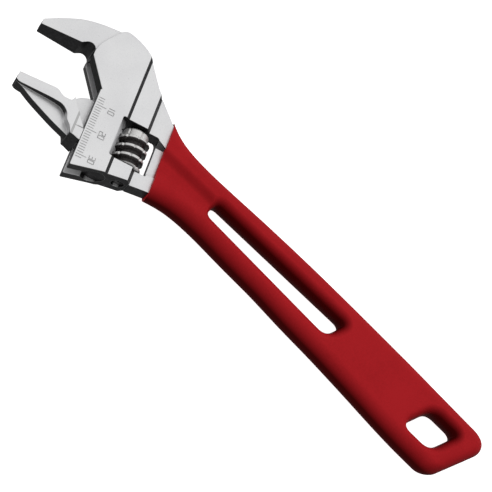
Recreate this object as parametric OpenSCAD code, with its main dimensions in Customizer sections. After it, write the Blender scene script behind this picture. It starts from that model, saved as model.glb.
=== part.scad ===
// Wide-opening adjustable wrench with thin tapered jaws and a dipped plastic grip.
// Millimetres. The wrench lies flat: +X runs from the jaws to the end of the handle, +Z is up.
// Head shapes are drawn in their own axes: u runs from the jaw tips to the handle,
// v runs up the slide edge towards the fixed jaw, and u = v = 0 is the top of the slide edge.

/* [Jaws] */
// Gap between the two jaw faces in the pose that is drawn
jaw_opening = 20.4; // [5:0.1:30]
// Length of the fixed jaw in front of the slide edge
jaw_reach = 27; // [22:0.5:32]
// Height of the fixed jaw face above the top of the slide edge
fixed_face_v = 14.2; // [12:0.1:16]
// Half the thickness of both jaws at their tips
tip_half = 3.1; // [2:0.1:4]
// Half the thickness of both jaws where they meet the slide edge
root_half = 5.8; // [4.5:0.1:5.9]
// Half the thickness of the thin web that carries the movable jaw
web_half = 2.0; // [1.5:0.05:2.5]
// Gap between the movable jaw and the slide edge
slide_gap = 0.15; // [0.1:0.05:0.3]

/* [Head] */
// Half the thickness of the thickest band of the head
band_a_half = 6.0; // [5:0.1:7]
// Half the thickness of the band beside the worm
band_b_half = 5.3; // [4:0.1:5.9]
// Half the thickness of the neck and the steel handle
neck_half = 3.0; // [2:0.1:4]
// Angle between the jaw faces and the handle
head_angle = 20; // [10:0.5:25]
// Width of the window that shows the worm
window_w = 15.1; // [14:0.1:18]
// Length of the window along the slide
window_l = 15.8; // [15:0.1:20]
// Depth of the graduation marks
mark_depth = 0.15; // [0.1:0.05:0.3]

/* [Rack and worm] */
// Radius of the round rack on the movable jaw
rack_r = 4.1; // [3.5:0.05:4.5]
// Radius of the rack bore in the head
rack_bore_r = 4.2; // [3.6:0.05:4.6]
// Length of the rack
rack_l = 24; // [20:0.5:28]
// Travel of the jaw for one turn of the worm
pitch = 3.6; // [3:0.1:4]
// Outer radius of the worm thread
worm_r = 5.8; // [5:0.1:6]
// Radius of the worm at the bottom of its thread
worm_root_r = 4.4; // [3.8:0.1:4.8]
// Half the width of the thread at its crest
crest_half = 0.75; // [0.5:0.05:0.8]
// Length of the worm with its collar
worm_l = 14.1; // [13:0.1:14.5]
// Length of the grooved collar at the upper end of the worm
collar_l = 3; // [2:0.1:4]
// Radius of the collar, which passes beside the rack
collar_r = 4.6; // [4.4:0.05:4.6]
// Grooves around the collar
collar_grooves = 6; // [4:1:20]
// Radius of the pin that the worm turns on
pin_r = 1.6; // [1.2:0.05:2]
// Radius of the bore through the worm
worm_bore_r = 1.67; // [1.3:0.01:2.1]
// Radius of the screw head of the pin
pin_head_r = 2.3; // [2:0.05:3]
// Wire thickness of the small spring above the worm
spring_wire = 0.6; // [0.4:0.05:0.8]
// Mean radius of the spring
spring_r = 2.5; // [2.2:0.05:3]
// Rise of the spring for one coil
spring_pitch = 0.9; // [0.7:0.05:1.2]

/* [Grip] */
// Half the thickness of the coated handle
grip_half = 4.9; // [4:0.1:6]
// Radius of the rounded edges of the coating
grip_edge = 3.7; // [2:0.1:4.5]
// Where the coating starts, in front of the end of the head
grip_start_u = 28.8; // [27:0.1:31]
// Depth of the chamfer around the slot and the hanging hole
grip_chamfer = 1.2; // [0.5:0.1:2]

/* [Hidden] */
// Top of the slide edge, measured from the middle of the handle slot
head_at = [-85.7, 1.3];
// Moves the outline box so that its bottom middle is the origin
box_shift = [8.844, 0.34, band_a_half];
// Drawn position of the movable jaw face
jaw_v = fixed_face_v - jaw_opening;
// Middle of the rack bore
rack_u = 9.4;
// Middle of the worm
worm_u = 18.2;
// Left side and lower end of the worm window
window_u = 10.7;
window_v = -20.7;
// Lower end of the worm and top of its collar
worm_v = window_v + 0.4;
worm_top_v = worm_v + worm_l;
window_top_v = window_v + window_l;
// Slope of the thread flanks, and of the rack teeth across the rack
flank = 0.36;
lead_angle = atan(pitch / (2 * PI * (worm_r + worm_root_r) / 2));
tooth_clear = 0.2;
// Where the thread starts around the worm when the gap is 20.4, and how the rack meets it
meshed_opening = 20.4;
thread_start = 300;
first_space = worm_v + pitch * (180 - thread_start) / 360 - fixed_face_v + meshed_opening;
worm_turn = 360 * (jaw_opening - meshed_opening) / pitch;
eps = 0.01;
$fn = 64;

steel = [0.80, 0.80, 0.81];
dark_steel = [0.22, 0.21, 0.21];
red = [0.62, 0.07, 0.08];

// ---- helpers ----

function unit(v) = v / norm(v);

// Rounds each corner of an outline: the third value of a corner is the length cut from its sides.
function soft(pts, n = 6) = [
    for (i = [0:len(pts) - 1])
        let (q = pts[i], a = pts[(i + len(pts) - 1) % len(pts)], b = pts[(i + 1) % len(pts)],
             p = [q.x, q.y],
             s = p + unit([a.x, a.y] - p) * q.z,
             e = p + unit([b.x, b.y] - p) * q.z)
        for (k = q.z > 0 ? [0:n] : [0])
            let (t = k / n)
            q.z > 0 ? (1 - t) * (1 - t) * s + 2 * t * (1 - t) * p + t * t * e : p
];

module placed() { translate(box_shift) children(); }

module in_head() { translate([head_at.x, head_at.y, 0]) rotate([0, 0, head_angle]) children(); }

module slab(half) { translate([0, 0, -half]) linear_extrude(2 * half) children(); }

// Draws a section across the head, given in u and z, and runs it along the slide
module along_slide(section, from_v, to_v) {
    translate([0, to_v, 0]) rotate([90, 0, 0]) linear_extrude(to_v - from_v) polygon(section);
}

// A cylinder along the slide, with its axis in the middle plane
module slide_rod(u, r, from_v, to_v, fn = 64) {
    translate([u, from_v, 0]) rotate([-90, 0, 0]) cylinder(r = r, h = to_v - from_v, $fn = fn);
}

// ---- outlines ----

function jaw_half(u) = tip_half + (root_half - tip_half) * (u + jaw_reach) / jaw_reach;

jaw_section = [
    [-jaw_reach - 1, jaw_half(-jaw_reach - 1)], [2, jaw_half(2)],
    [2, -jaw_half(2)], [-jaw_reach - 1, -jaw_half(-jaw_reach - 1)]
];

body_section = [
    [-8, band_a_half], [11.9, band_a_half], [13.1, band_b_half], [20.1, band_b_half],
    [23.1, 2 * neck_half - band_b_half], [23.1, band_b_half - 2 * neck_half],
    [20.1, -band_b_half], [13.1, -band_b_half], [11.9, -band_a_half], [-8, -band_a_half]
];

body_outline = [
    [0, -30.5, 0.5], [0, 0, 0.2], [-6.9, 10.1, 0.5], [-6.9, 13.4, 1], [-6.2, 16.2, 1.4],
    [-3.9, 20.2, 1.5], [-0.9, 24.4, 0.3], [0.8, 25.8, 1], [3.6, 25.5, 1.6], [8.6, 23.7, 2.4],
    [12.4, 21.0, 1.4], [14, 18.4, 1], [18.8, 11.3, 1.4], [20.4, 9.6, 0.7], [21.9, 8.9, 0],
    [21.9, -26, 0], [19.5, -26.2, 1], [11.4, -27.5, 2]
];

fixed_jaw_outline = [
    [-jaw_reach, fixed_face_v, 0], [-jaw_reach, fixed_face_v + 2.1, 0.5],
    [-21, 19.9, 3], [-14.5, 23.0, 3], [-7.5, 24.3, 3], [-0.9, 24.5, 0.2], [1, 24, 0],
    [1, 10, 0], [-6.9, 10.1, 0.2], [-6.9, fixed_face_v, 0]
];

// The neck and the steel handle: the neck starts inside the thicker bands of the head
handle_outline = [
    [-69.1, 16.5, 0], [-68.6, 17.6, 0.4], [-59.7, 13.1, 2], [-55, 10.5, 2.5], [-46, 8.6, 4],
    [-34, 8.4, 5], [-8, 9.5, 8], [20, 10.1, 10],
    [55, 9.9, 8], [92.6, 8.9, 2.9], [96.6, 5.2, 2.4], [87, -12.8, 3.5], [78, -13.8, 3],
    [40, -12.2, 8], [10, -10.7, 8], [-20, -9.6, 5], [-37, -9.5, 3.5], [-47, -11.8, 2.5],
    [-50.1, -13, 0.6], [-56.4, -16.1, 0.4], [-57.5, -15.4, 0]
];

// The through slot and the hanging hole, first as seen on the coated grip
grip_slot = [[-31.1, 3.1, 3], [32.6, 4.3, 2.6], [28.9, -4.8, 3], [-31.1, -3.2, 3]];
grip_hole = [[74.3, 4.0, 3.2], [89.7, 4.0, 3.2], [83.4, -8.9, 3.2], [68.4, -8.9, 3.2]];
steel_slot = [[-32.4, 4.5, 4.4], [35, 5.8, 3.5], [30.2, -6.3, 3.5], [-32.4, -4.6, 4.4]];
steel_hole = [[73.9, 5.6, 4], [91.6, 5.6, 4], [84.6, -9.9, 4], [66.5, -9.9, 4]];

// The shallow channel that runs from the worm window to the slot, on both faces
channel = [
    [-64.6, 0.2, 0], [-55.2, 3.74, 1.5], [-45, 3.9, 2], [-28, 4.3, 0],
    [-28, -4.5, 0], [-45, -5.3, 2], [-52, -7.4, 2], [-57, -9.2, 0]
];
// The slope down into the channel beside the window, drawn in the head, and its lower edge
slope_area = [[23, -10, 0], [23, -5.5, 0], [25.7, -5.5, 0.6], [27.2, -6.4, 0.8], [33.5, -10, 0]];
slope_foot_v = -8.2;
slope_angle = 29;

// Thick part of the movable jaw, drawn with its face at v = 0
jaw_thick = [
    [-jaw_reach + 0.2, 0, 0.3], [-13, 0, 1.2], [-10.6, -1.9, 1.2], [-7.4, -2.0, 0.5],
    [-6.7, -0.3, 0.2], [-slide_gap, -10.2, 0.3], [-slide_gap, -14.6, 0.3], [-2.7, -13.7, 0.3],
    [-3.9, -13.5, 0.2], [-4.7, -11.3, 0.8], [-6.6, -9.2, 0.8], [-7.2, -6.9, 1.4],
    [-9.6, -4.7, 1.6], [-13.5, -4.2, 2], [-25.2, -3.7, 0.4], [-26.2, -3.5, 0.3],
    [-jaw_reach, -2.9, 0.2]
];

// Thin part: the floor of the triangular pocket, the boss and the web to the rack
jaw_thin = [
    [-26.6, -2.2, 0.2], [-20, -1.5, 0], [-7.4, -3, 0], [-7.1, -0.4, 0.4], [-4.9, 1.9, 1],
    [-2.2, 3.2, 1], [rack_u, 3.2, 0], [rack_u, -17, 0], [5, -16.4, 1], [-0.3, -14.4, 0.3],
    [-4.2, -13.2, 0.3], [-10, -11.1, 2], [-15, -8.9, 2], [-20, -6.6, 2], [-24.4, -4.1, 0.8],
    [-26.6, -3.4, 0.3]
];

// ---- frame ----

module rack_passage() {
    slide_rod(rack_u, rack_bore_r, -40, fixed_face_v + 0.2);
    slab(web_half + 0.1) polygon(soft([
        [-12, 5, 0], [-7.6, 10.4, 0.8], [-5.4, 12.9, 1], [-2.4, fixed_face_v + 0.2, 1],
        [rack_u, fixed_face_v + 0.2, 0], [rack_u, -40, 0], [-12, -40, 0]
    ]));
}

// One stroke of a mark on the front face, between two points
module stroke(a, b, w = 0.22) {
    d = b - a;
    translate([a.x, a.y, band_a_half - mark_depth]) rotate([0, 0, atan2(d.y, d.x)])
        translate([0, -w / 2, 0]) cube([norm(d), w, 1]);
}

// A digit made of straight strokes: 2.2 tall along u and 1.1 wide along v, read down the slide
module digit(n, at) {
    l = 1.1;
    h = 2.2;
    top = [[h, 0], [h, -l]];
    mid = [[h / 2, 0], [h / 2, -l]];
    low = [[0, 0], [0, -l]];
    left_low = [[0, 0], [h / 2, 0]];
    left_top = [[h / 2, 0], [h, 0]];
    right_low = [[0, -l], [h / 2, -l]];
    right_top = [[h / 2, -l], [h, -l]];
    lines = n == 0 ? [top, low, left_low, left_top, right_low, right_top]
          : n == 1 ? [[[0, -l / 2], [h, -l / 2]]]
          : n == 2 ? [top, right_top, mid, left_low, low]
          : [top, right_top, mid, right_low, low];
    for (s = lines) stroke(at + s[0], at + s[1]);
}

// Reads the gap between the jaws against the line on the movable jaw
module graduation() {
    for (gap = [7:31]) {
        v = fixed_face_v - 10 - gap;
        stroke([0.5, v], [gap % 10 == 0 ? 4.2 : 2.7, v], 0.18);
    }
    for (ten = [1:3]) {
        v = fixed_face_v - 10 - 10 * ten;
        digit(ten, [5.1, v + 1.25]);
        digit(0, [5.1, v - 0.25]);
    }
}

module head() {
    difference() {
        union() {
            intersection() {
                slab(band_a_half) polygon(soft(body_outline));
                along_slide(body_section, -60, 60);
            }
            intersection() {
                slab(band_a_half) polygon(soft(fixed_jaw_outline));
                along_slide(jaw_section, -60, 60);
            }
        }
        // Relief notch in the corner of the fixed jaw
        slab(8) union() {
            translate([-9.2, 13.3]) circle(r = 2.35);
            polygon([[-12.4, 14.0], [-10.4, 15.3], [-7.2, 14.4], [-7, 10], [-12.4, 10]]);
        }
        // Slanted cheeks of the throat
        for (side = [-1, 1])
            scale([1, 1, side]) translate([-6.9, 10.1, web_half]) rotate([0, 0, -55.6])
                rotate([-8, 0, 0]) translate([-1.5, -6, 0]) cube([13.6, 6, 6]);
        rack_passage();
        // Bores for the pin of the worm
        slide_rod(worm_u, pin_r + 0.02, window_top_v - 1, 0.5);
        slide_rod(worm_u, pin_r + 0.02, -30, window_v + 1);
        slide_rod(worm_u, pin_head_r + 0.05, -30, -24.2);
        graduation();
    }
}

// The channel in one face, with the slope along its upper side
module channel_cut() {
    translate([0, 0, neck_half / 2]) linear_extrude(band_a_half) polygon(soft(channel));
    in_head() intersection() {
        slab(8) polygon(soft(slope_area));
        translate([10, slope_foot_v, neck_half / 2]) rotate([slope_angle, 0, 0]) cube([30, 8, 12]);
    }
}

module frame() {
    color(steel) placed() difference() {
        union() {
            in_head() head();
            slab(neck_half) polygon(soft(handle_outline));
        }
        for (side = [0, 1]) mirror([0, 0, side])
            channel_cut();
        // Worm window
        in_head() slab(8) translate([window_u, window_v]) polygon(soft([
            [0, 0, 0.8], [window_w, 0, 0.8], [window_w, window_l, 1.2], [0, window_l, 0.8]]));
        slab(8) polygon(soft(steel_slot));
        slab(8) polygon(soft(steel_hole));
    }
}

// ---- grip ----

// Sections of the coating: distance along the handle, top edge, bottom edge, half thickness
grip_sections = [
    [-64, 17.5, -19.3, 4.2], [-59.7, 14.3, -17.9, 4.3], [-55, 12.1, -16.6, 4.6], [-50.5, 11.0, -14.9, 4.8],
    [-46.5, 10.5, -13.4, 4.9], [-42, 10.3, -12.1, 4.9], [-36, 10.3, -11.4, 4.9], [-28, 10.6, -11.2, 4.9],
    [-14, 11.2, -11.7, 4.9], [0, 11.6, -11.9, 4.9], [15, 11.8, -12.8, 4.9], [30, 11.75, -13.3, 4.9],
    [45, 11.6, -14.2, 4.9], [58, 11.4, -15.0, 4.9], [70, 11.0, -15.6, 4.9], [80, 10.7, -16.0, 4.9],
    [88, 10.0, -16.0, 4.9], [91.5, 9.0, -15.6, 4.6], [94, 7.6, -14.4, 3.8], [95.4, 6.2, -13.0, 2.7],
    [96, 4.6, -11.4, 1.2]
];
// How far the sections lean towards the slanted end
end_lean = 0.52;

function lean(x) = let (t = max(0, min(1, (x - 40) / 46))) end_lean * t * t * (3 - 2 * t);

// One rounded section, as points in space
function section_points(s, n = 5) =
    let (half = s[3], e = min(grip_edge * half / grip_half, half - 0.1))
    [for (c = [[1, 1, 0], [-1, 1, 90], [-1, -1, 180], [1, -1, 270]])
        for (k = [0:n])
            let (a = c[2] + 90 * k / n,
                 y = (c[0] > 0 ? s[1] - e : s[2] + e) + e * cos(a),
                 z = c[1] * (half - e) + e * sin(a))
            [s[0] + lean(s[0]) * y, y, z]];

module grip_body() {
    per = 24;
    rows = len(grip_sections);
    polyhedron(
        points = [for (s = grip_sections) each section_points(s)],
        faces = concat(
            [[for (k = [0:per - 1]) k]],
            [[for (k = [per - 1:-1:0]) (rows - 1) * per + k]],
            [for (r = [0:rows - 2]) for (k = [0:per - 1]) let (m = (k + 1) % per)
                [r * per + k, (r + 1) * per + k, (r + 1) * per + m, r * per + m]]),
        convexity = 4);
}

function spread(pts, mid, k) = [for (p = pts) [mid.x + (p.x - mid.x) * k.x, mid.y + (p.y - mid.y) * k.y, p.z]];

// Opens an outline through the grip and breaks its edges on both faces
module eased_opening(pts, mid, size) {
    slab(8) polygon(soft(pts));
    for (side = [0, 1]) mirror([0, 0, side]) hull() {
        translate([0, 0, grip_half - grip_chamfer]) linear_extrude(eps) polygon(soft(pts));
        translate([0, 0, grip_half]) linear_extrude(1)
            polygon(soft(spread(pts, mid, [1 + 2 * grip_chamfer / size.x, 1 + 2 * grip_chamfer / size.y])));
    }
}

module grip() {
    color(red) placed() difference() {
        grip_body();
        in_head() translate([-40, -60, -10]) cube([grip_start_u + 40, 120, 20]);
        slab(neck_half) polygon(soft(handle_outline));
        eased_opening(grip_slot, [0.5, -0.1], [64, 8]);
        eased_opening(grip_hole, [79, -2.45], [15, 13]);
        // Shallow hollow that carries the channel on under the coating
        for (side = [0, 1]) mirror([0, 0, side])
            translate([0, 0, grip_half - 0.7]) linear_extrude(2)
                polygon(soft([[-64, 4.6, 0], [-45, 3.4, 3], [-30, 3.2, 0], [-30, -3.3, 0],
                    [-45, -4.2, 3], [-60, -8, 0]]));
    }
}

// ---- movable jaw ----

module tooth_space(v) {
    deep = rack_u + rack_r - (worm_u - worm_r - tooth_clear) + 0.9;
    inner = crest_half + tooth_clear;
    translate([worm_u - worm_r - tooth_clear, v, 0]) rotate([lead_angle, 0, 0]) slab(6)
        polygon([[0, -inner], [deep, -inner - deep * flank], [deep, inner + deep * flank], [0, inner]]);
}

module movable_jaw() {
    rack_top = jaw_v + 3.2;
    color(steel) placed() in_head() difference() {
        union() {
            intersection() {
                slab(band_a_half) translate([0, jaw_v]) polygon(soft(jaw_thick));
                along_slide(jaw_section, -60, 60);
            }
            slab(web_half) translate([0, jaw_v]) polygon(soft(jaw_thin));
            slide_rod(rack_u, rack_r, rack_top - rack_l, rack_top);
        }
        // Rack teeth: the spaces are aligned with the thread of the worm
        for (k = [-3:5]) tooth_space(jaw_v + first_space + pitch * k);
        // Line that reads the gap on the graduation
        translate([-3.3, jaw_v - 10 - 0.12, root_half - 0.35]) cube([3.3, 0.24, 1]);
    }
}

// ---- worm ----

// Cross-section of a single thread: the radius follows the flanks around the turn
function thread_r(deg) =
    let (away = abs(deg > 180 ? deg - 360 : deg) / 360 * pitch)
    max(worm_root_r, min(worm_r, worm_r - (away - crest_half) / flank));

module worm() {
    thread_l = worm_l - collar_l;
    turns = thread_l / pitch;
    color(dark_steel) placed() in_head() translate([worm_u, worm_v, 0]) rotate([-90, 0, 0])
        rotate([0, 0, worm_turn]) difference() {
        union() {
            linear_extrude(thread_l, twist = -360 * turns, slices = 66, segments = 24)
                polygon([for (deg = [0:15:345])
                    thread_r(deg) * [cos(deg + thread_start), sin(deg + thread_start)]]);
            translate([0, 0, thread_l - 0.1]) cylinder(r = collar_r, h = collar_l + 0.1);
        }
        translate([0, 0, -1]) cylinder(r = worm_bore_r, h = worm_l + 2);
        for (k = [0:collar_grooves - 1]) rotate([0, 0, 360 / collar_grooves * (k + 0.75)])
            translate([collar_r + 0.25, 0, thread_l + 0.5]) cylinder(r = 0.6, h = collar_l, $fn = 24);
    }
}

// ---- pin and spring ----

module worm_pin() {
    color(dark_steel) placed() in_head() difference() {
        union() {
            slide_rod(worm_u, pin_r, -25.4, 0);
            slide_rod(worm_u, pin_head_r, -25.4, -24.3);
        }
        // Screwdriver slot
        translate([worm_u - 3, -26, -0.3]) cube([6, 1.2, 0.6]);
    }
}

// A round wire wound as a flat helix: each level of it is a long arc around the axis
module worm_spring() {
    gap = window_top_v - worm_top_v - 0.15;
    reach = 360 * spring_wire / 2 / spring_pitch;
    rise = [for (k = [-7:7]) k / 7];
    color(steel) placed() in_head() translate([worm_u, worm_top_v + 0.15, 0]) rotate([-90, 0, 0])
        linear_extrude(gap, twist = -360 * gap / spring_pitch, slices = 48, segments = 30)
            polygon(concat(
                [for (t = rise) (spring_r + spring_wire / 2 * sqrt(1.04 - t * t)) *
                    [cos(reach * t), sin(reach * t)]],
                [for (t = rise) (spring_r - spring_wire / 2 * sqrt(1.04 - t * t)) *
                    [cos(-reach * t), sin(-reach * t)]]));
}

frame();
grip();
movable_jaw();
worm();
worm_pin();
worm_spring();
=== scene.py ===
from math import cos, pi, radians, sin

import bmesh
import bpy
import numpy as np
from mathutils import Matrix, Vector


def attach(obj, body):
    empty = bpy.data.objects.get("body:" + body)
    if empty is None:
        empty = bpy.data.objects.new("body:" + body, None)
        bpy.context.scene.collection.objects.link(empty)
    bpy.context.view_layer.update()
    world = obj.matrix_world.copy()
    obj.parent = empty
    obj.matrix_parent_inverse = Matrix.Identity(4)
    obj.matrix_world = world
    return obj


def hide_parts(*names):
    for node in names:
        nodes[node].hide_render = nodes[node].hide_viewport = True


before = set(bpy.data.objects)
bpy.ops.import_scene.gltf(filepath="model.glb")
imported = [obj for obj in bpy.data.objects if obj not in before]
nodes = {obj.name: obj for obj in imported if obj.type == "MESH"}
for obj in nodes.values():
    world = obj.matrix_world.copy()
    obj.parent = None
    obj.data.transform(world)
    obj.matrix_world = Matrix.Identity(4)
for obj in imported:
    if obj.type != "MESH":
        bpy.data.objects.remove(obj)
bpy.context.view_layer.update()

MM = 0.001

# ---------------------------------------------------------------- places
# Two drawing planes, both in millimetres with z = 0 in the middle of the thickness:
# the handle's (x, y), and the head's (u, v), turned by HEAD_TURN, with v up the slide.

HEAD_TURN = radians(20)
COS_TURN, SIN_TURN = cos(HEAD_TURN), sin(HEAD_TURN)
HANDLE_X, HANDLE_Y = 8.844, 0.34  # middle of the handle slot in the shared frame
HEAD_X, HEAD_Y = -76.856, 1.64  # top of the slide edge in the shared frame
MIDDLE_Z = 6.0  # height of the middle of the thickness

GRIP_START = 28.8  # where the coating begins, along u

WORM_U, WORM_V, WORM_L, THREAD_L = 18.2, -20.3, 14.1, 11.1  # axis, foot and lengths of the worm
WORM_R, ROOT_R, COLLAR_R, BORE_R, PITCH = 5.8, 4.4, 4.6, 1.67, 3.6
CREST_START = 3.3  # height of a crest above the foot, on the side that shows


def from_handle(p):
    """Points drawn about the handle slot, in metres in the shared frame."""
    p = np.asarray(p, float)
    return np.stack([p[..., 0] + HANDLE_X, p[..., 1] + HANDLE_Y, p[..., 2] + MIDDLE_Z], -1) * MM


def from_head(p):
    """Points drawn about the top of the slide edge, in metres in the shared frame."""
    p = np.asarray(p, float)
    u, v, z = p[..., 0], p[..., 1], p[..., 2]
    x = u * COS_TURN - v * SIN_TURN + HEAD_X
    y = u * SIN_TURN + v * COS_TURN + HEAD_Y
    return np.stack([x, y, z + MIDDLE_Z], -1) * MM


ACROSS_HEAD = Vector((COS_TURN, SIN_TURN, 0))  # the directions of u and v
ALONG_SLIDE = Vector((-SIN_TURN, COS_TURN, 0))

# ---------------------------------------------------------------- materials


def new_material(name):
    mat = bpy.data.materials.new(name)
    mat.use_nodes = True
    tree = mat.node_tree
    tree.nodes.clear()
    out = tree.nodes.new("ShaderNodeOutputMaterial")
    bsdf = tree.nodes.new("ShaderNodeBsdfPrincipled")
    tree.links.new(bsdf.outputs[0], out.inputs[0])
    return mat, tree, bsdf


def feed(tree, socket, value):
    """Sets a constant on the socket, or links another node's output to it."""
    if isinstance(value, (int, float, tuple)):
        socket.default_value = value
    else:
        tree.links.new(value, socket)


def math_node(tree, op, a, b=0.0):
    n = tree.nodes.new("ShaderNodeMath")
    n.operation = op
    feed(tree, n.inputs[0], a)
    feed(tree, n.inputs[1], b)
    return n.outputs[0]


def ramp(tree, value, lo, hi, to_lo=0.0, to_hi=1.0, smooth=True):
    """Carries value from lo..hi to to_lo..to_hi and holds it at the ends."""
    n = tree.nodes.new("ShaderNodeMapRange")
    n.interpolation_type = "SMOOTHSTEP" if smooth else "LINEAR"
    feed(tree, n.inputs[0], value)
    for i, v in enumerate((lo, hi, to_lo, to_hi)):
        n.inputs[i + 1].default_value = v
    return n.outputs[0]


def mix_colour(tree, factor, a, b):
    n = tree.nodes.new("ShaderNodeMix")
    n.data_type = "RGBA"
    feed(tree, n.inputs[0], factor)
    feed(tree, n.inputs[6], a)
    feed(tree, n.inputs[7], b)
    return n.outputs[2]


def noise(tree, where, scale, detail, rough):
    n = tree.nodes.new("ShaderNodeTexNoise")
    n.inputs["Scale"].default_value = scale
    n.inputs["Detail"].default_value = detail
    n.inputs["Roughness"].default_value = rough
    tree.links.new(where, n.inputs["Vector"])
    return n.outputs[0]


def bump(tree, height, distance, strength, normal=None):
    n = tree.nodes.new("ShaderNodeBump")
    n.inputs["Strength"].default_value = strength
    n.inputs["Distance"].default_value = distance
    tree.links.new(height, n.inputs["Height"])
    if normal is not None:
        tree.links.new(normal, n.inputs["Normal"])
    return n.outputs[0]


def soft_edges(tree, radius):
    n = tree.nodes.new("ShaderNodeBevel")
    n.samples = 6
    n.inputs[0].default_value = radius
    return n.outputs[0]


def coordinates(tree):
    """Texture coordinates, and the object's normal and place taken apart into x, y and z."""
    tc = tree.nodes.new("ShaderNodeTexCoord")
    normal = tree.nodes.new("ShaderNodeSeparateXYZ")
    tree.links.new(tc.outputs["Normal"], normal.inputs[0])
    place = tree.nodes.new("ShaderNodeSeparateXYZ")
    tree.links.new(tc.outputs["Object"], place.inputs[0])
    return tc, normal, place


def dot(tree, a, b):
    n = tree.nodes.new("ShaderNodeVectorMath")
    n.operation = "DOT_PRODUCT"
    tree.links.new(a, n.inputs[0])
    feed(tree, n.inputs[1], b)
    return n.outputs["Value"]


def distance_along(tree, tc, direction, start):
    """How far past the point start, drawn in the head, a place lies in a direction (m)."""
    begin = float(Vector(from_head(start)).dot(direction))
    return math_node(tree, "SUBTRACT", dot(tree, tc.outputs["Object"], tuple(direction)), begin)


def near_place(tree, tc, middle, inner, outer):
    """1 within inner of a point drawn in the head, 0 beyond outer (mm)."""
    n = tree.nodes.new("ShaderNodeVectorMath")
    n.operation = "DISTANCE"
    tree.links.new(tc.outputs["Object"], n.inputs[0])
    n.inputs[1].default_value = tuple(from_head(middle))
    return ramp(tree, n.outputs["Value"], outer * MM, inner * MM)


def plated_steel(name, mark_level, marks, highlight_spots=()):
    """Satin plated faces, with the sides painted dark as shade and a painted highlight along their
    edges. Marks cut to mark_level (m) hold grey paint.

    The sides get a painted highlight near each of the highlight spots: a place in the head and two
    radii.
    """
    mat, tree, bsdf = new_material(name)
    tc, normal, place = coordinates(tree)
    up = math_node(tree, "ABSOLUTE", normal.outputs[2])
    face = ramp(tree, up, 0.85, 0.985)
    grain = noise(tree, tc.outputs["Object"], 2600, 3, 0.6)
    cloud = noise(tree, tc.outputs["Object"], 70, 3, 0.5)
    forged = noise(tree, tc.outputs["Object"], 900, 4, 0.65)
    edge = soft_edges(tree, 0.00028)
    true_normal = tree.nodes.new("ShaderNodeNewGeometry").outputs["True Normal"]
    turned = ramp(tree, dot(tree, edge, true_normal), 0.995, 0.80)
    # plate tone, broken up a little by the polish
    polish = math_node(tree, "ADD", math_node(tree, "MULTIPLY", cloud, 0.5),
                       math_node(tree, "MULTIPLY", grain, 0.5))
    light = mix_colour(tree, ramp(tree, polish, 0.36, 0.64),
                       (0.84, 0.84, 0.85, 1), (0.92, 0.92, 0.925, 1))
    # painted shade: every surface that is not a face takes this near-black colour
    dark = mix_colour(tree, ramp(tree, forged, 0.3, 0.7),
                      (0.010, 0.010, 0.011, 1), (0.034, 0.034, 0.036, 1))
    # painted highlight: the sides turn lighter along their rounded edges
    side_shade_and_highlights = mix_colour(tree, math_node(tree, "MULTIPLY", turned, 0.55), dark, (0.55, 0.55, 0.56, 1))
    # painted highlight on the sides near each spot
    for middle, inner, outer in highlight_spots:
        spot = near_place(tree, tc, middle, inner, outer)
        side_shade_and_highlights = mix_colour(tree, spot, side_shade_and_highlights, (0.60, 0.60, 0.61, 1))
    colour = mix_colour(tree, face, side_shade_and_highlights, light)
    near = math_node(tree, "ABSOLUTE", math_node(tree, "SUBTRACT", place.outputs[2], mark_level))
    painted = math_node(tree, "MULTIPLY", math_node(tree, "LESS_THAN", near, 0.00004),
                        math_node(tree, "GREATER_THAN", normal.outputs[2], 0.98))
    # the paint also covers the walls of each stroke, and with them a thin rim round the face
    walls = math_node(tree, "MULTIPLY",
                      math_node(tree, "GREATER_THAN", place.outputs[2], mark_level - 0.00002),
                      math_node(tree, "LESS_THAN", normal.outputs[2], 0.5))
    painted = math_node(tree, "MAXIMUM", painted, walls)
    colour = mix_colour(tree, painted, colour, (marks, marks, marks, 1))
    tree.links.new(colour, bsdf.inputs["Base Color"])
    bsdf.inputs["Metallic"].default_value = 0.62
    bsdf.inputs["Specular IOR Level"].default_value = 0.2
    rough = math_node(tree, "ADD", ramp(tree, grain, 0.2, 0.8, 0.0, 0.10),
                      ramp(tree, face, 0, 1, 0.40, 0.27, smooth=False))
    tree.links.new(rough, bsdf.inputs["Roughness"])
    polished = bump(tree, grain, 0.00002, 0.25, edge)
    off_face = math_node(tree, "SUBTRACT", 1.0, face)
    as_forged = bump(tree, math_node(tree, "MULTIPLY", forged, off_face), 0.00008, 0.6, polished)
    tree.links.new(as_forged, bsdf.inputs["Normal"])
    return mat


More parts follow.
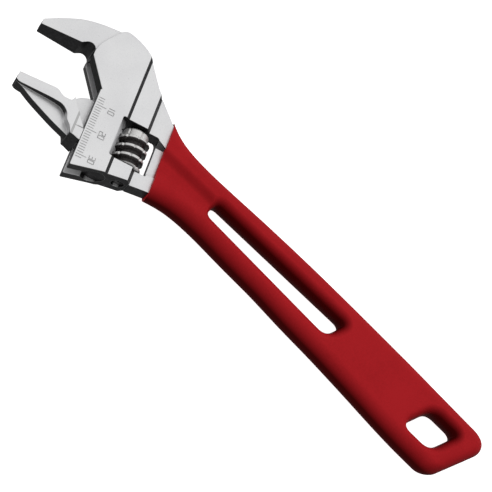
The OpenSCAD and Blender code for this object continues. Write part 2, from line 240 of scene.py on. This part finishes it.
def dipped_vinyl():
    """Red coating with a fine orange-peel skin, darkening towards the handle's lower edge."""
    mat, tree, bsdf = new_material("dipped_vinyl")
    tc, normal, _ = coordinates(tree)
    skin = noise(tree, tc.outputs["Object"], 1500, 3, 0.55)
    patch = noise(tree, tc.outputs["Object"], 45, 4, 0.6)
    wave = noise(tree, tc.outputs["Object"], 120, 2, 0.5)
    up = math_node(tree, "ABSOLUTE", normal.outputs[2])
    # surfaces that turn to the lower edge are painted darker, as the photograph's light leaves them,
    # and the cut end beside the head is not
    from_cut = distance_along(tree, tc, ACROSS_HEAD, [GRIP_START, 0, 0])
    front = math_node(tree, "LESS_THAN", from_cut, 0.00005)
    side = math_node(tree, "MULTIPLY", dot(tree, tc.outputs["Normal"], (0.5, 0.866, 0)), 0.5)
    rise = math_node(tree, "ADD", math_node(tree, "MULTIPLY", up, 0.86), side)
    flat = ramp(tree, math_node(tree, "MAXIMUM", rise, front), 0.06, 0.82, smooth=False)
    blend = math_node(tree, "ADD", math_node(tree, "MULTIPLY", patch, 0.6),
                      math_node(tree, "MULTIPLY", skin, 0.4))
    main = mix_colour(tree, ramp(tree, blend, 0.38, 0.62),
                      (0.510, 0.0150, 0.0205, 1), (0.580, 0.0180, 0.0245, 1))
    deep = (0.080, 0.0014, 0.0018, 1)
    colour = mix_colour(tree, flat, deep, main)
    tree.links.new(colour, bsdf.inputs["Base Color"])
    tree.links.new(ramp(tree, skin, 0.25, 0.75, 0.40, 0.52), bsdf.inputs["Roughness"])
    bsdf.inputs["IOR"].default_value = 1.46
    bsdf.inputs["Specular IOR Level"].default_value = 0.04
    peel = bump(tree, skin, 0.00003, 0.35)
    tree.links.new(bump(tree, wave, 0.0003, 0.25, peel), bsdf.inputs["Normal"])
    return mat


def worm_steel():
    """Dark steel worm whose upper flanks and collar get a painted highlight."""
    mat, tree, bsdf = new_material("worm_steel")
    tc, _, place = coordinates(tree)
    foot = [WORM_U, WORM_V, 0]
    height = distance_along(tree, tc, ALONG_SLIDE, foot)
    # painted highlight: the whole collar is made bright
    collar = ramp(tree, height, (THREAD_L - 0.1) * MM, (THREAD_L + 0.05) * MM)
    across = distance_along(tree, tc, ACROSS_HEAD, foot)
    above = math_node(tree, "SUBTRACT", place.outputs[2], MIDDLE_Z * MM)
    turn = math_node(tree, "DIVIDE", math_node(tree, "ARCTAN2", above, across), 2 * pi)
    # how far past the crest's middle, in pitches of the thread, with 0.5 on the middle
    risen = math_node(tree, "DIVIDE", math_node(tree, "SUBTRACT", height, CREST_START * MM), PITCH * MM)
    past = math_node(tree, "ADD", risen, math_node(tree, "SUBTRACT", turn, 0.25))
    past = math_node(tree, "FRACT", math_node(tree, "ADD", past, 4.5))
    # the band with the painted highlight lies a little above the crest's middle
    near = math_node(tree, "ABSOLUTE", math_node(tree, "SUBTRACT", past, 0.5 + 0.13))
    flank_highlight = ramp(tree, near, 0.26, 0.19)
    painted_highlight = math_node(tree, "MAXIMUM", collar, flank_highlight)
    grain = noise(tree, tc.outputs["Object"], 1900, 3, 0.6)
    black = mix_colour(tree, ramp(tree, grain, 0.3, 0.75),
                       (0.018, 0.015, 0.015, 1), (0.075, 0.066, 0.066, 1))
    # painted highlight on the flank band and the collar, over the dark steel
    colour = mix_colour(tree, painted_highlight, black, (0.86, 0.85, 0.84, 1))
    tree.links.new(colour, bsdf.inputs["Base Color"])
    bsdf.inputs["Metallic"].default_value = 0.55
    tree.links.new(ramp(tree, grain, 0.2, 0.8, 0.30, 0.46), bsdf.inputs["Roughness"])
    tree.links.new(bump(tree, grain, 0.00004, 0.4), bsdf.inputs["Normal"])
    return mat


def plain_steel(name, dark, light, rough):
    """Bare steel between two tones, rough to rough + 0.12."""
    mat, tree, bsdf = new_material(name)
    tc, _, _ = coordinates(tree)
    grain = noise(tree, tc.outputs["Object"], 2200, 3, 0.6)
    colour = mix_colour(tree, ramp(tree, grain, 0.3, 0.7), dark, light)
    tree.links.new(colour, bsdf.inputs["Base Color"])
    bsdf.inputs["Metallic"].default_value = 0.95
    tree.links.new(ramp(tree, grain, 0.2, 0.8, rough, rough + 0.12), bsdf.inputs["Roughness"])
    tree.links.new(bump(tree, grain, 0.00003, 0.4, soft_edges(tree, 0.00012)), bsdf.inputs["Normal"])
    return mat


def dress(obj, mat):
    obj.data.materials.clear()
    obj.data.materials.append(mat)


# ---------------------------------------------------------------- mesh helpers


def mesh_object(name, points, faces):
    """A new object in the scene, from points in metres."""
    mesh = bpy.data.meshes.new(name)
    mesh.from_pydata([tuple(p) for p in points], [], faces)
    mesh.update()
    obj = bpy.data.objects.new(name, mesh)
    bpy.context.scene.collection.objects.link(obj)
    return obj


def rings(rows, closed):
    """Quads between rows of points that each go once round. Closed rows join last to first."""
    count, per = len(rows), len(rows[0])
    faces = []
    for r in range(count if closed else count - 1):
        s = (r + 1) % count
        for k in range(per):
            m = (k + 1) % per
            faces.append((r * per + k, r * per + m, s * per + m, s * per + k))
    if not closed:
        faces.append(tuple(range(per))[::-1])
        faces.append(tuple((count - 1) * per + k for k in range(per)))
    return np.concatenate(rows), faces


def outward(obj):
    """Joins points that coincide and turns every face outward."""
    bm = bmesh.new()
    bm.from_mesh(obj.data)
    bmesh.ops.remove_doubles(bm, verts=bm.verts, dist=2e-6)
    bmesh.ops.recalc_face_normals(bm, faces=bm.faces)
    bm.to_mesh(obj.data)
    bm.free()


def shade(obj, degrees):
    """Smooth shading, except where faces meet more sharply than this."""
    obj.data.shade_smooth()
    obj.data.set_sharp_from_angle(angle=radians(degrees))


def subtract(obj, tool):
    """Cuts the tool out of the object and removes the tool."""
    m = obj.modifiers.new("cut", "BOOLEAN")
    m.operation = "DIFFERENCE"
    m.solver = "EXACT"
    m.object = tool
    view = bpy.context.evaluated_depsgraph_get()
    done = bpy.data.meshes.new_from_object(obj.evaluated_get(view))
    obj.modifiers.clear()
    obj.data = done
    bpy.data.objects.remove(tool)


def soft(points, steps=10):
    """Rounds the corners of an outline: each corner is x, y and the length cut from its sides."""
    out = []
    for i, (x, y, cut) in enumerate(points):
        p = np.array([x, y], float)
        ends = []
        for q in (points[i - 1], points[(i + 1) % len(points)]):
            d = np.array(q[:2], float) - p
            ends.append(p + d / np.linalg.norm(d) * cut)
        for k in range(steps + 1):
            t = k / steps
            out.append((1 - t) ** 2 * ends[0] + 2 * t * (1 - t) * p + t * t * ends[1])
    return np.array(out)


def grown(outline, d):
    """Moves each point of a convex outline out by d."""
    ahead = np.roll(outline, -1, 0) - np.roll(outline, 1, 0)
    n = np.stack([ahead[:, 1], -ahead[:, 0]], 1)
    n /= np.linalg.norm(n, axis=1)[:, None]
    middle = outline.mean(0)
    if ((outline - middle) * n).sum() < 0:
        n = -n
    return outline + n * d


def smoothstep(t):
    t = np.clip(t, 0, 1)
    return t * t * (3 - 2 * t)


# ---------------------------------------------------------------- grip

GRIP_HALF = 4.9  # half the thickness of the coated handle
EDGE = 4.7  # depth of the rounded edges
TOP_WIDE, LOW_WIDE, END_WIDE = 4.8, 6.2, 5.2  # and their widths, seen from the front
BULGE = 0.4  # the rounded sides stand this far past the table's outline
# distance along the handle, top edge, bottom edge, half thickness
GRIP = np.array([
    (-64, 17.5, -19.3, 4.2), (-59.7, 14.3, -17.9, 4.3), (-55, 12.1, -16.6, 4.6),
    (-50.5, 11.0, -14.9, 4.8), (-46.5, 10.5, -13.4, 4.9), (-42, 10.3, -12.1, 4.9),
    (-36, 10.3, -11.4, 4.9), (-28, 10.6, -11.2, 4.9), (-14, 11.2, -11.7, 4.9),
    (0, 11.6, -11.9, 4.9), (15, 11.8, -12.8, 4.9), (30, 11.75, -13.3, 4.9),
    (45, 11.6, -14.2, 4.9), (58, 11.4, -15.0, 4.9), (70, 11.0, -15.6, 4.9),
    (80, 10.7, -16.0, 4.9), (90, 10.5, -16.1, 4.9), (100, 10.5, -16.1, 4.9)])
GRIP_END = 96.1
TOP_CORNER, LOW_CORNER = 10.0, 5.0  # rounding of the corners at the end, in plan
END_LEAN = 0.52  # slant of the end, reached over LEAN_LENGTH from LEAN_START
LEAN_START, LEAN_LENGTH = 40, 46
CHANNEL_DEPTH = 1.5
CORNER_STEPS, FLAT_STEPS = 18, 25  # round each rounded edge, and across each face
# outlines of the slot and the hanging hole: corners x, y and the length cut from their sides
SLOT = [(-31.1, 3.1, 3.1), (32.6, 4.3, 4.2), (28.9, -4.8, 4.4), (-31.1, -3.2, 3.1)]
HOLE = [(74.4, 4.0, 4.6), (89.1, 4.0, 4.6), (82.9, -8.7, 4.8), (68.5, -8.7, 4.6)]
LIP_HALF = 4.93  # the lips of the openings meet the two faces here
SLOT_LIP, HOLE_LIP = 4.0, 3.8  # and reach this far from the walls


def smooth_table(xs, column, width=2.2):
    """The table's column along xs, as a smooth curve."""
    reach = np.linspace(-3 * width, 3 * width, 25)
    weight = np.exp(-((reach / width) ** 2) / 2)
    ys = np.stack([np.interp(xs + r, GRIP[:, 0], GRIP[:, column]) for r in reach])
    return (ys * weight[:, None]).sum(0) / weight.sum()


def hollow(x, y):
    """Depth of the shallow channel that runs from the worm window to the slot."""
    low = np.interp(x, [-62, -45, -30], [-9.0, -4.6, -3.6])  # its lower side
    across = smoothstep((4.4 - y) / 4.8) * smoothstep((y - low) / 5 + 0.5)
    return CHANNEL_DEPTH * across * smoothstep((-27.5 - x) / 5)


def end_rounding(xs, radius):
    """How far a quarter circle of this radius has turned in at xs, at the end of the grip."""
    near = np.clip(xs - (GRIP_END - radius), 0, radius)
    return radius - np.sqrt(radius ** 2 - near ** 2)


def grip_section(top, bottom, half):
    """Points (y, z) round a section: a quarter ellipse on each corner and flats between."""
    edge = min(EDGE, half - 0.12)
    pts = []
    for sy, sz, start in ((1, 1, 0), (-1, 1, 90), (-1, -1, 180), (1, -1, 270)):
        wide = TOP_WIDE if sy > 0 else LOW_WIDE
        cy, cz = (top - wide if sy > 0 else bottom + wide), sz * (half - edge)
        for k in range(CORNER_STEPS + 1):
            a = radians(start + 90 * k / CORNER_STEPS)
            pts.append((cy + wide * cos(a), cz + edge * sin(a)))
        if start in (0, 180):  # the flat face, in small steps
            y0, z0 = pts[-1]
            y1 = bottom + LOW_WIDE if start == 0 else top - TOP_WIDE
            pts += [(y0 + (y1 - y0) * t, z0) for t in np.linspace(0, 1, FLAT_STEPS + 1)[1:-1]]
    return np.array(pts)


def cut_front(obj):
    """Cuts the grip off square to the head and closes it."""
    bm = bmesh.new()
    bm.from_mesh(obj.data)
    cut = bmesh.ops.bisect_plane(
        bm, geom=bm.verts[:] + bm.edges[:] + bm.faces[:], dist=1e-7,
        plane_co=from_head([GRIP_START, 0, 0]), plane_no=-ACROSS_HEAD, clear_outer=True)
    rim = [g for g in cut["geom_cut"] if isinstance(g, bmesh.types.BMEdge)]
    bmesh.ops.triangle_fill(bm, edges=rim, use_beauty=True)
    bm.to_mesh(obj.data)
    bm.free()
    outward(obj)


def open_up(obj, outline, lip):
    """Cuts an opening whose walls flare out to both faces by the width of the lip."""
    turns = np.linspace(radians(-86), radians(86), 41)
    past = GRIP_HALF + 1  # beyond the face
    levels = [(LIP_HALF * sin(a), a) for a in turns]
    levels = [(-past, turns[0])] + levels + [(past, turns[-1])]
    waist = grown(outline, -0.75)
    rows = []
    for z, a in levels:
        o = grown(waist, lip * (1 - cos(a)))
        rows.append(from_handle(np.column_stack([o, np.full(len(o), z)])))
    tool = mesh_object("tool", *rings(rows, False))
    outward(tool)
    subtract(obj, tool)


def make_grip():
    """The coating as one skin: rounded sections, the cut front, the slot and the hole."""
    body = np.linspace(-66, GRIP_END - TOP_CORNER, 180)
    turn = GRIP_END - TOP_CORNER * (1 - np.sin(np.linspace(0, pi / 2, 34)))
    xs = np.concatenate([body, turn[1:]])
    top, bottom, half = (smooth_table(xs, k) for k in (1, 2, 3))
    # the last factors leave a small flat at the end, so that the last ring keeps its size
    top = top - end_rounding(xs, TOP_CORNER) * 0.75
    bottom = bottom + end_rounding(xs, LOW_CORNER) * 0.85
    half = half - end_rounding(xs, END_WIDE) * 0.88
    rows = []
    for x, t, b, h in zip(xs, top + BULGE, bottom - BULGE, half):
        y, z = grip_section(t, b, h).T
        on_face = smoothstep((np.abs(z) - h + 1.5) / 1.4)
        z = z - np.sign(z) * hollow(np.full(len(y), x), y) * on_face
        lean = END_LEAN * float(smoothstep((x - LEAN_START) / LEAN_LENGTH))
        rows.append(from_handle(np.stack([x + lean * y, y, z], 1)))
    obj = mesh_object("grip_skin", *rings(rows, False))
    outward(obj)
    cut_front(obj)
    open_up(obj, soft(SLOT), SLOT_LIP)
    open_up(obj, soft(HOLE), HOLE_LIP)
    shade(obj, 32)
    return obj


# ---------------------------------------------------------------- worm


def make_worm():
    """The worm as rings of points up its axis: foot, thread, collar and bore."""
    per = 288  # points round each ring
    angle = np.arange(per) * 2 * pi / per

    def thread(h):
        centre = CREST_START + PITCH * (pi / 2 - angle) / (2 * pi)
        past = (h - centre + PITCH / 2) % PITCH - PITCH / 2
        ridge = smoothstep(np.where(past > 0, (1.30 - past) / 0.85, (1.28 + past) / 0.5))
        # shallow cuts across the ridge for the thumb
        turn = (angle * 9 / (2 * pi) + 0.1 + h * 0.02) % 1
        cut = np.exp(-(((turn - 0.5) / 0.085) ** 2))
        r = ROOT_R + (WORM_R - ROOT_R) * ridge * (1 - 0.32 * cut)
        # the thread runs out in a small bevel at both ends
        ends = WORM_R - 1.3 * max(0, 0.35 - h) - 1.3 * max(0, h - (THREAD_L - 0.3))
        return np.minimum(r, ends)

    def collar(h):
        # six notches round the top
        turn = ((angle - radians(15)) * 6 / (2 * pi)) % 1
        away = np.minimum(turn, 1 - turn)
        cut = np.exp(-((away / 0.055) ** 2)) * float(smoothstep((h - THREAD_L - 0.2) / 0.5))
        return COLLAR_R - 0.42 * cut - 0.9 * max(0, h - (WORM_L - 0.4))

    levels = [(h, thread(h)) for h in np.linspace(0, THREAD_L, 150)]
    levels += [(THREAD_L + 0.015, collar(THREAD_L))]
    levels += [(h, collar(h)) for h in np.linspace(THREAD_L + 0.15, WORM_L, 24)]
    bore = np.full(per, BORE_R)
    levels = [(0, bore)] + levels + [(WORM_L, bore)]
    rows = []
    for h, r in levels:
        rows.append(from_head(np.stack(
            [WORM_U + r * np.cos(angle), np.full(per, WORM_V + h), r * np.sin(angle)], 1)))
    obj = mesh_object("worm_thread", *rings(rows, True))
    outward(obj)
    shade(obj, 50)
    return obj


# ---------------------------------------------------------------- build

grip = make_grip()
dress(grip, dipped_vinyl())
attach(grip, "handle")
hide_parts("grip")

worm = make_worm()
dress(worm, worm_steel())
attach(worm, "knurl")
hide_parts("worm")

HEAD_MARKS, JAW_MARKS = 0.01185, 0.01145  # heights of the floors of the strokes
RACK_AND_WALLS = [  # places on the jaw's sides that catch the light
    ((9.4, -12, 0), 4.5, 14), ((-6.4, -14.8, 3.5), 1.6, 2.8), ((-4.8, -17.4, 3.5), 1.5, 2.6)]
dress(nodes["frame"], plated_steel("plated_head", HEAD_MARKS, 0.62))
dress(nodes["movable_jaw"], plated_steel("plated_jaw", JAW_MARKS, 0.55, RACK_AND_WALLS))
dress(nodes["worm_pin"], plain_steel(
    "pin_steel", (0.05, 0.05, 0.05, 1), (0.14, 0.14, 0.14, 1), 0.3))
dress(nodes["worm_spring"], plain_steel(
    "spring_steel", (0.35, 0.34, 0.33, 1), (0.6, 0.59, 0.58, 1), 0.25))

# ---------------------------------------------------------------- stage, light, camera

REACH = 6  # half the side of the floor, in metres
floor = mesh_object("floor", [(x, y, 0) for x, y in (
    (-REACH, -REACH), (REACH, -REACH), (REACH, REACH), (-REACH, REACH))], [(0, 1, 2, 3)])
mat, tree, bsdf = new_material("pale_floor")
bsdf.inputs["Base Color"].default_value = (0.90, 0.90, 0.90, 1)
bsdf.inputs["Roughness"].default_value = 0.9
bsdf.inputs["Specular IOR Level"].default_value = 0.1
bsdf.inputs["Emission Color"].default_value = (1, 1, 1, 1)
bsdf.inputs["Emission Strength"].default_value = 0.95
dress(floor, mat)
# the floor is seen, and it does not light the object or show in it
floor.visible_diffuse = floor.visible_glossy = False


def area_light(name, place, target, size, power):
    data = bpy.data.lights.new(name, "AREA")
    data.shape = "RECTANGLE"
    data.size, data.size_y = size
    data.energy = power
    obj = bpy.data.objects.new(name, data)
    obj.location = place
    obj.rotation_euler = (Vector(target) - Vector(place)).to_track_quat("-Z", "Y").to_euler()
    bpy.context.scene.collection.objects.link(obj)


area_light("overhead", (0.1, 0.35, 0.9), (0, 0, 0), (1.5, 1.2), 3.15)
area_light("behind", (0.2, 1.5, 0.55), (0, 0, 0), (2.4, 0.7), 2.5)
area_light("left", (-0.8, 0.1, 0.7), (0, 0, 0), (0.5, 0.9), 0.6)

world = bpy.data.worlds.new("studio")
bpy.context.scene.world = world
world.use_nodes = True
background = world.node_tree.nodes["Background"]
background.inputs["Color"].default_value = (1, 1, 1, 1)
background.inputs["Strength"].default_value = 0.36

camera = bpy.data.objects.new("camera", bpy.data.cameras.new("camera"))
camera.location = (-0.04723, -0.24537, 0.42423)
camera.rotation_euler = (radians(19.8595), radians(-24.1388), radians(38.5695))
camera.data.lens = 102.75
camera.data.sensor_width = 36
camera.data.clip_start = 0.01
bpy.context.scene.collection.objects.link(camera)
bpy.context.scene.camera = camera
bpy.context.scene.view_settings.view_transform = "Standard"
